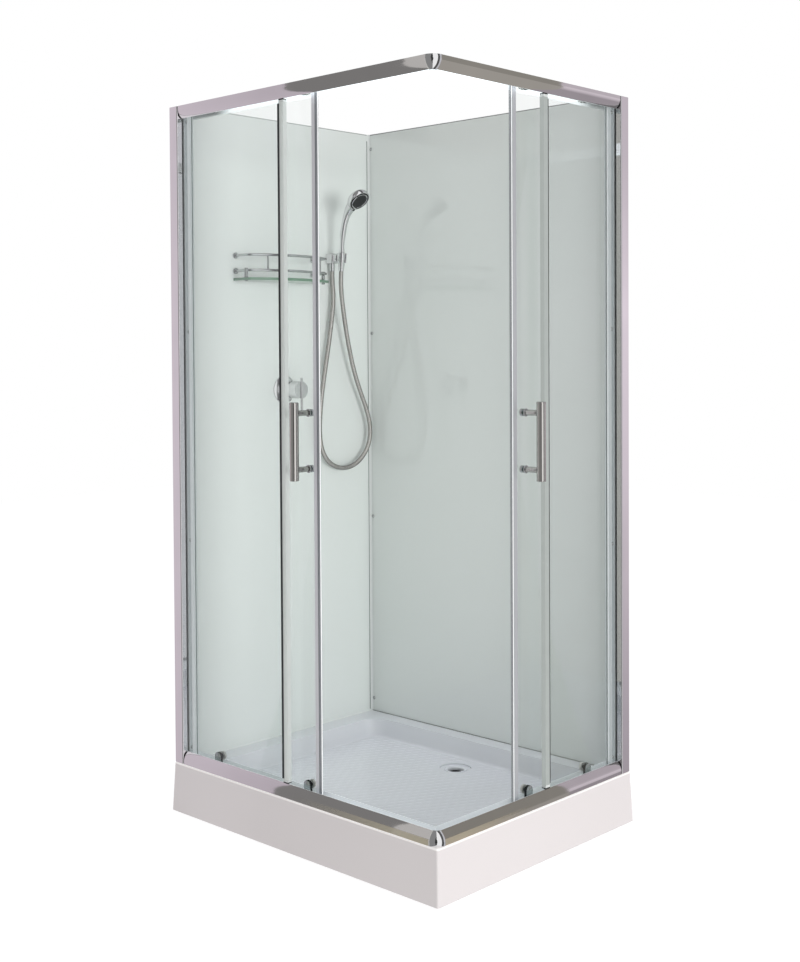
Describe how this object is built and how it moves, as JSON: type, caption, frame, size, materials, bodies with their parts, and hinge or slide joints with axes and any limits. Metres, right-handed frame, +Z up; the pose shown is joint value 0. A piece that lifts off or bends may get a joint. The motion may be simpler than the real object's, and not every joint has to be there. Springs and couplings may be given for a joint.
{
  "type": "shower enclosure",
  "caption": "Rectangular corner shower enclosure: raised tray, silver frame, two sliding glass doors, glass wall panels, lever mixer, handshower on hose and bow-fronted shelf.",
  "frame": {"origin": "on the floor under the middle foot, at the centre of the frame's plan", "axes": "+Z up, +X along the long door side towards the door corner, -Y out through the long door side"},
  "size_m": [1.0418, 0.8255, 2.006],
  "materials": {
    "acrylic": "gloss white",
    "galvanised_steel": "galvanised",
    "black_plastic": "satin black",
    "grey_plastic": "satin light grey",
    "stainless": "polished",
    "frame_aluminium": "bright silver anodised",
    "mill_aluminium": "mill finish",
    "back_painted_glass": "polished, painted pale green white behind",
    "clear_glass": "polished",
    "black_rubber": "matte",
    "clear_seal": "translucent",
    "chrome": "polished",
    "wheel_plastic": "satin"
  },
  "bodies": {
    "enclosure": {"tray_shell": "acrylic", "tray_frame": "galvanised_steel", "levelling_feet": "black_plastic", "foot_locknuts": "galvanised_steel", "waste_flange": "stainless", "waste_trap": "grey_plastic", "front_bottom_rail": "frame_aluminium", "side_bottom_rail": "frame_aluminium", "front_top_rail": "frame_aluminium", "side_top_rail": "frame_aluminium", "bottom_corner_joint": "chrome", "top_corner_joint": "chrome", "left_wall_post": "frame_aluminium", "right_wall_post": "frame_aluminium", "back_corner_angle": "mill_aluminium", "back_corner_trim": "frame_aluminium", "left_wall_panel": "back_painted_glass", "rear_wall_panel": "back_painted_glass", "panel_screws": "stainless", "front_fixed_glass": "clear_glass", "side_fixed_glass": "clear_glass", "front_fixed_edge": "frame_aluminium", "side_fixed_edge": "frame_aluminium", "rubber_seals": "black_rubber", "frame_gaskets": "clear_seal", "mixer_escutcheon": "chrome", "mixer_body": "chrome", "outlet_block": "chrome", "handset_holder": "chrome", "hose_outlet_nut": "chrome", "shower_hose": "chrome", "shelf_glass": "clear_glass", "shelf_rails": "chrome", "shelf_fixings": "chrome"},
    "mixer_head": {"mixer_head": "chrome"},
    "mixer_lever": {"mixer_lever": "chrome"},
    "handset": {"handset_shell": "chrome", "handset_nut": "chrome"},
    "spray_selector": {"spray_plate": "black_plastic", "spray_ring": "chrome"},
    "front_door": {"front_door_glass": "clear_glass", "front_door_lead_profile": "frame_aluminium", "front_door_seals": "clear_seal", "front_door_handle": "chrome", "front_handle_fixings": "chrome", "front_wheel_mounts": "chrome"},
    "front_wheel_lead_bottom": {"front_wheel_lead_bottom": "wheel_plastic"},
    "front_wheel_lead_top": {"front_wheel_lead_top": "wheel_plastic"},
    "front_wheel_trail_bottom": {"front_wheel_trail_bottom": "wheel_plastic"},
    "front_wheel_trail_top": {"front_wheel_trail_top": "wheel_plastic"},
    "side_door": {"side_door_glass": "clear_glass", "side_door_lead_profile": "frame_aluminium", "side_door_seals": "clear_seal", "side_door_handle": "chrome", "side_handle_fixings": "chrome", "side_wheel_mounts": "chrome"},
    "side_wheel_lead_bottom": {"side_wheel_lead_bottom": "wheel_plastic"},
    "side_wheel_lead_top": {"side_wheel_lead_top": "wheel_plastic"},
    "side_wheel_trail_bottom": {"side_wheel_trail_bottom": "wheel_plastic"},
    "side_wheel_trail_top": {"side_wheel_trail_top": "wheel_plastic"}
  },
  "joints": [
    {"name": "front_door_slide", "type": "slide", "parent": "enclosure", "child": "front_door", "axis": [1, 0, 0], "range_m": [0, 0.389]},
    {"name": "side_door_slide", "type": "slide", "parent": "enclosure", "child": "side_door", "axis": [0, -1, 0], "range_m": [0, 0.287]},
    {"name": "front_wheel_lead_bottom_spin", "type": "hinge", "parent": "front_door", "child": "front_wheel_lead_bottom", "pos_m": [0.02, -0.351, 0.183], "axis": [0, 1, 0], "continuous": true},
    {"name": "front_wheel_lead_top_spin", "type": "hinge", "parent": "front_door", "child": "front_wheel_lead_top", "pos_m": [0.02, -0.351, 1.9828], "axis": [0, 1, 0], "continuous": true},
    {"name": "front_wheel_trail_bottom_spin", "type": "hinge", "parent": "front_door", "child": "front_wheel_trail_bottom", "pos_m": [-0.345, -0.351, 0.183], "axis": [0, 1, 0], "continuous": true},
    {"name": "front_wheel_trail_top_spin", "type": "hinge", "parent": "front_door", "child": "front_wheel_trail_top", "pos_m": [-0.345, -0.351, 1.9828], "axis": [0, 1, 0], "continuous": true},
    {"name": "side_wheel_lead_bottom_spin", "type": "hinge", "parent": "side_door", "child": "side_wheel_lead_bottom", "pos_m": [0.451, -0.011, 0.183], "axis": [1, 0, 0], "continuous": true},
    {"name": "side_wheel_lead_top_spin", "type": "hinge", "parent": "side_door", "child": "side_wheel_lead_top", "pos_m": [0.451, -0.011, 1.9828], "axis": [1, 0, 0], "continuous": true},
    {"name": "side_wheel_trail_bottom_spin", "type": "hinge", "parent": "side_door", "child": "side_wheel_trail_bottom", "pos_m": [0.451, 0.245, 0.183], "axis": [1, 0, 0], "continuous": true},
    {"name": "side_wheel_trail_top_spin", "type": "hinge", "parent": "side_door", "child": "side_wheel_trail_top", "pos_m": [0.451, 0.245, 1.9828], "axis": [1, 0, 0], "continuous": true},
    {"name": "mixer_turn", "type": "hinge", "parent": "enclosure", "child": "mixer_head", "pos_m": [-0.415, 0.003, 1.196], "axis": [1, 0, 0], "range_deg": [-40, 40]},
    {"name": "mixer_tilt", "type": "hinge", "parent": "mixer_head", "child": "mixer_lever", "pos_m": [-0.396, 0.003, 1.196], "axis": [0, -1, 0], "range_deg": [0, 15]},
    {"name": "handset_lift", "type": "slide", "parent": "enclosure", "child": "handset", "axis": [0.0698, 0, 0.9976], "range_m": [0, 0.05]},
    {"name": "spray_select", "type": "hinge", "parent": "handset", "child": "spray_selector", "pos_m": [-0.3367, 0.195, 1.7685], "axis": [0.6947, 0, -0.7193], "range_deg": [0, 30]}
  ],
  "couplings": [
    {"joint": "front_wheel_lead_bottom_spin", "follows": "front_door_slide", "rad_per_m": 105.26},
    {"joint": "front_wheel_lead_top_spin", "follows": "front_door_slide", "rad_per_m": 105.26},
    {"joint": "front_wheel_trail_bottom_spin", "follows": "front_door_slide", "rad_per_m": 105.26},
    {"joint": "front_wheel_trail_top_spin", "follows": "front_door_slide", "rad_per_m": 105.26},
    {"joint": "side_wheel_lead_bottom_spin", "follows": "side_door_slide", "rad_per_m": 105.26},
    {"joint": "side_wheel_lead_top_spin", "follows": "side_door_slide", "rad_per_m": 105.26},
    {"joint": "side_wheel_trail_bottom_spin", "follows": "side_door_slide", "rad_per_m": 105.26},
    {"joint": "side_wheel_trail_top_spin", "follows": "side_door_slide", "rad_per_m": 105.26}
  ]
}
